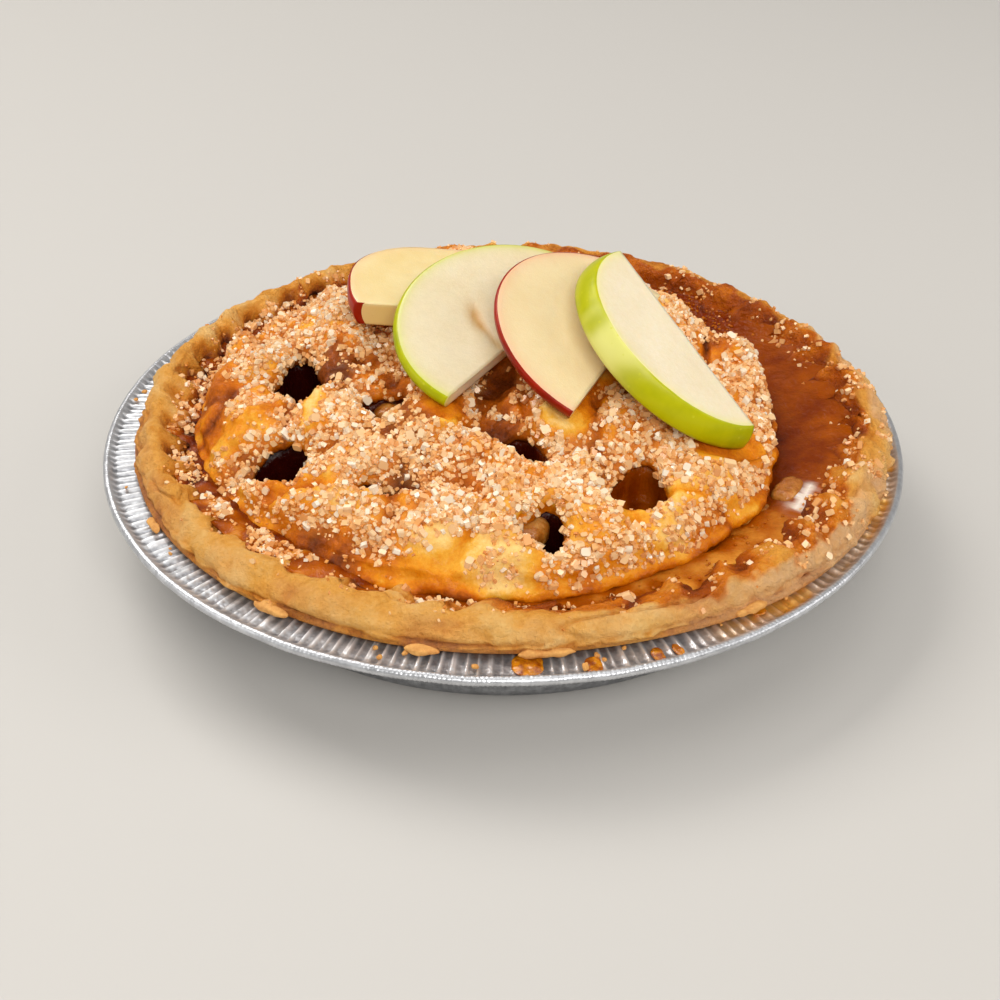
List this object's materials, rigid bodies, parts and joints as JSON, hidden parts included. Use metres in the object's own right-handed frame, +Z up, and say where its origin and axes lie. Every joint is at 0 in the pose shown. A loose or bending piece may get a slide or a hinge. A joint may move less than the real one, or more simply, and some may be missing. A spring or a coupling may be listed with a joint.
{
  "type": "apple pie",
  "caption": "Whole apple pie in a fluted foil tin, with a rope-crimped rim, a domed sugared top crust with holes over the filling, and fresh apple slices shingled on top.",
  "frame": {"origin": "middle of the tin's flat base, where the pie stands", "axes": "+Z up, -Y towards the front, +X to the right seen from the front"},
  "size_m": [0.245, 0.245, 0.0851],
  "materials": {
    "foil": "satin foil with bright flutes",
    "rim_crust": "golden baked dough, glazed brown inside",
    "apple_gel": "glossy cooked syrup with apple pieces",
    "sugared_crust": "baked dough under coarse sugar crystals",
    "red_apple": "moist cream flesh with red skin",
    "green_apple": "moist cream flesh with green skin"
  },
  "bodies": {
    "root": {"foil_tin": "foil", "pie_shell": "rim_crust", "apple_filling": "apple_gel", "top_crust": "sugared_crust", "apple_slice_red_left": "red_apple", "apple_slice_green_left": "green_apple", "apple_slice_red_right": "red_apple", "apple_slice_green_right": "green_apple"}
  },
  "joints": []
}
